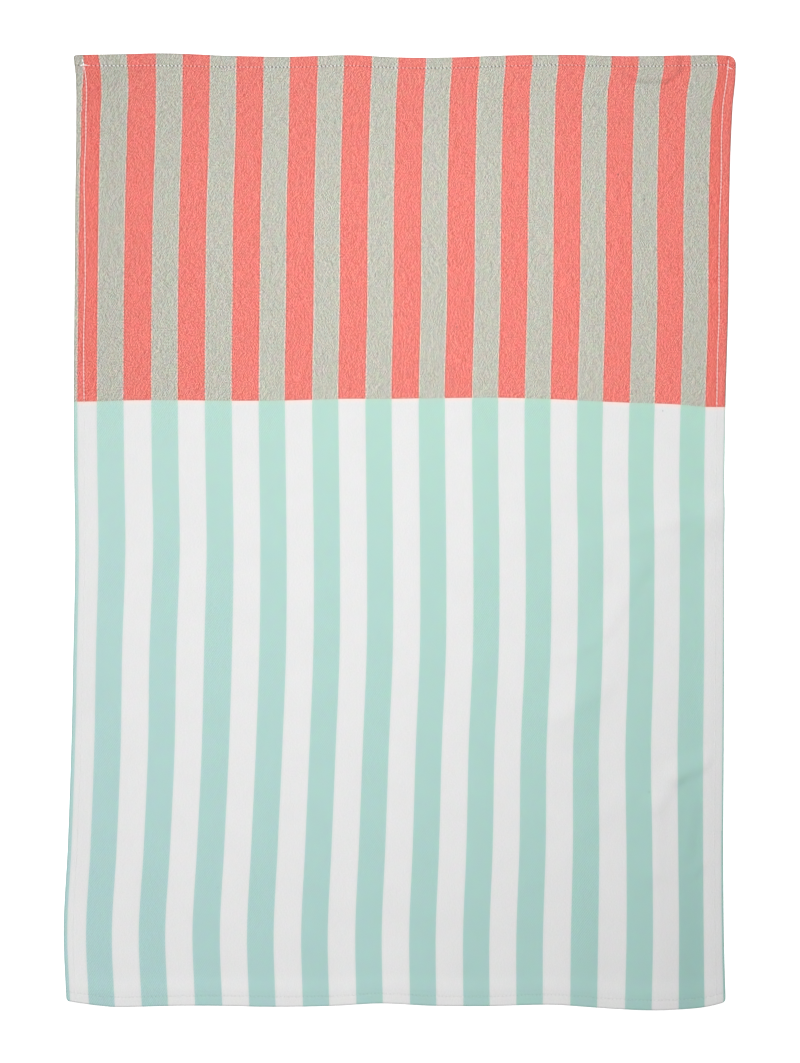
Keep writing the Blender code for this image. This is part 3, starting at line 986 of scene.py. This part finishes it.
def level_with_painted_light(finish, spot):
    """How light the cloth is: painted shade of the light's falloff, soft patches, painted highlights and
    shade along creases, and its slubs.
    """
    coral = spot.coral
    level = painted_falloff(spot, LOWER_SHADE) * (1.0 - coral) + painted_falloff(spot, CORAL_SHADE) * coral
    level = level * (1.0 + finish.patches(spot.across, spot.up, PATCH_SIZE) * PATCH_SHADE)
    for painted_crease in CREASE_LIGHT_AND_SHADE:
        off_painted_crease = finish.from_line(spot.across, spot.up, painted_crease)
        level = level * (1.0 + painted_crease.paler * off_painted_crease.nearness(painted_crease.half_width) * coral)
    for slub in SLUBS:
        off_slub = finish.distance(spot.across, spot.up, (slub.across, slub.up, 0.0))
        level = level * (1.0 - slub.shade * off_slub.nearness(slub.size))
    return level


def seam_and_fold_shade_level(spot, holes):
    """The painted shade beside the seams, in their needle holes and where the folded edges turn down, as a
    level to multiply by.
    """
    coral = spot.coral
    # Painted shade in the needle holes
    hole_shade = HOLE_SHADE + coral * (CORAL_HOLE_SHADE + MINT_HOLE_SHADE * spot.mint)
    # Painted shade in the grooves beside the side seams
    drawn_in = (2.0 - abs(spot.past_side) / SEAM_GROOVE_REACH).at_least(0.0).at_most(1.0)
    level = (1.0 - SEAM_SHADE * drawn_in * coral) * (1.0 - hole_shade * holes)
    # Painted shade where the folded edges turn down, wider by the right edge on coral
    side_fold = (1.0 - spot.to_side / FOLD_SHADE_WIDTH).at_least(0.0) * SIDE_FOLD_SHADE
    end_fold = (1.0 - spot.to_end / FOLD_SHADE_WIDTH).at_least(0.0) * END_FOLD_SHADE
    by_right = (1.0 - (WIDTH - spot.across) / RIGHT_FOLD_SHADE_WIDTH).at_least(0.0) * SIDE_FOLD_SHADE
    return level * (1.0 - side_fold.at_least(end_fold)) * (1.0 - by_right * coral)


def all_needle_holes(finish, spot):
    """1 in the middle of each needle hole that shows. The side seams' don't, below the colour change."""
    left, _, top, bottom = SEAMS
    side = finish.needle_holes(left, spot.up, spot.past_side) * spot.coral
    at_top = finish.needle_holes(top, spot.across, spot.past_end) * spot.coral
    at_bottom = finish.needle_holes(bottom, spot.across, spot.past_end) * (1.0 - spot.coral)
    return (SIDE_HOLES * side).at_least(at_top + at_bottom)


def striped_twill():
    """Four-end twill of mint and white warp: mint stripes show warp, and those between them show weft."""
    finish = Finish("striped_twill", roughness=0.92, specular=0.15, sheen=0.04)
    spot = Spot(finish)
    warp_shows = warp_on_top(spot)
    holes = all_needle_holes(finish, spot)
    colour = with_uneven_dye(finish, spot, yarn_colour(finish, spot, warp_shows))
    parts = parts_of_cloth(finish, spot)
    for tint in TINTS:
        colour = finish.vary(colour, tint[1:], parts[tint.part])
    colour = finish.dim(colour, level_with_painted_light(finish, spot) * seam_and_fold_shade_level(spot, holes))
    warp_round = finish.roundness(spot.across / WARP_PITCH)
    weft_round = finish.roundness(spot.up / WEFT_PITCH)
    height = weft_round + (warp_round - weft_round) * warp_shows - HOLE_DEPTH * holes
    return finish.done(colour, height, YARN_RELIEF)


def sewing_thread():
    """White two-ply cotton thread, which takes up some of the colour of the cloth that it lies on."""
    finish = Finish("sewing_thread", roughness=0.7, specular=0.3, sheen=0.1)
    across, up, blush = finish.attribute("sewn_mm")
    inside_mint, coral = finish.stripes(across, up)
    mint = inside_mint > 0.0
    here = finish.node("ShaderNodeTexCoord", {}, {}, "Object")
    fibres = finish.cloud(here, FIBRES_PER_METRE, 3.0)
    colour = finish.mix(THREAD, THREAD_BETWEEN_FIBRES, fibres)
    below = finish.mix(WHITE_YARN, MINT_YARN, mint)
    colour = finish.mix(colour, below, LOWER_THREAD_BLEND * (1.0 - coral))
    colour = finish.mix(colour, THREAD_BY_CORAL, blush * coral * (1.0 - mint))
    return finish.done(colour, fibres, YARN_RELIEF)


WHITE_LIGHT = (1.0, 1.0, 1.0, 1.0)
TABLE_DROP = 0.0002  # how far it lies below the part's underside
TABLE_PALE = (0.96, 0.96, 0.96, 1.0)
TABLE_PALER = (0.98, 0.98, 0.98, 1.0)
TABLE_PATCHES_PER_METRE = 40.0


def pale_table():
    """A white light table, whose glow fills in shadows."""
    finish = Finish("pale_table", roughness=1.0, specular=0.0)
    finish.shader.inputs["Emission Color"].default_value = WHITE_LIGHT
    finish.shader.inputs["Emission Strength"].default_value = 0.6
    here = finish.node("ShaderNodeTexCoord", {}, {}, "Object")
    return finish.done(finish.mix(TABLE_PALE, TABLE_PALER, finish.cloud(here, TABLE_PATCHES_PER_METRE)))


# The photograph's view: straight down, with the middle of its frame within a millimetre of the part's
CAMERA_HEIGHT = 3.0
FACE_HEIGHT = 0.001  # the level of the cloth's face, where the frame's height is measured
FRAME_HEIGHT = 0.7827
FRAME_CENTRE = (0.00035, 0.00013)
SENSOR_HEIGHT = 24.0

# A soft box above the left of the towel, and even light from the room
SOFTBOX_PLACE = (-0.12, 0.22, 1.1)
SOFTBOX_AIM = (-0.2, 0.15, 0.0)


def set_camera():
    camera = bpy.data.cameras.new("overhead")
    camera.sensor_fit = "VERTICAL"
    camera.sensor_height = SENSOR_HEIGHT
    camera.lens = SENSOR_HEIGHT * CAMERA_HEIGHT / FRAME_HEIGHT
    camera.clip_end = 20.0
    holder = bpy.data.objects.new("overhead", camera)
    holder.location = (*FRAME_CENTRE, CAMERA_HEIGHT + FACE_HEIGHT)
    bpy.context.collection.objects.link(holder)
    bpy.context.scene.camera = holder


def set_light():
    deselect_all()
    bpy.ops.object.light_add(type="AREA", location=SOFTBOX_PLACE)
    softbox = bpy.context.object
    softbox.data.size = 1.2
    softbox.data.energy = 16.5
    towards = Vector(SOFTBOX_AIM) - softbox.location
    softbox.rotation_euler = towards.to_track_quat("-Z", "Y").to_euler()
    world = bpy.data.worlds.new("room")
    world.use_nodes = True
    background = world.node_tree.nodes["Background"]
    background.inputs["Color"].default_value = WHITE_LIGHT
    background.inputs["Strength"].default_value = 0.3
    bpy.context.scene.world = world
    bpy.context.scene.view_settings.view_transform = "Standard"


def set_table():
    deselect_all()
    bpy.ops.mesh.primitive_plane_add(size=8.0, location=(0.0, 0.0, -TABLE_DROP))
    table = bpy.context.object
    table.name = "table"
    table.data.materials.append(pale_table())


def finish_piece(piece, material):
    piece.data.materials.clear()
    piece.data.materials.append(material)
    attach(piece, "root")


set_camera()
set_light()
set_table()

cloth = make_cloth()
finish_piece(cloth, striped_twill())
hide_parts("tea_towel")

stitch = make_one_stitch()
stitches = plan_stitches(random.Random(4))
thread = sewing_thread()
face_row = sew("face_stitches", stitch, stitches, True, FACE_PROUD)
back_row = sew("back_stitches", stitch, stitches, False, BACK_PROUD)
bpy.data.objects.remove(stitch)
for row in (face_row, back_row):
    finish_piece(row, thread)
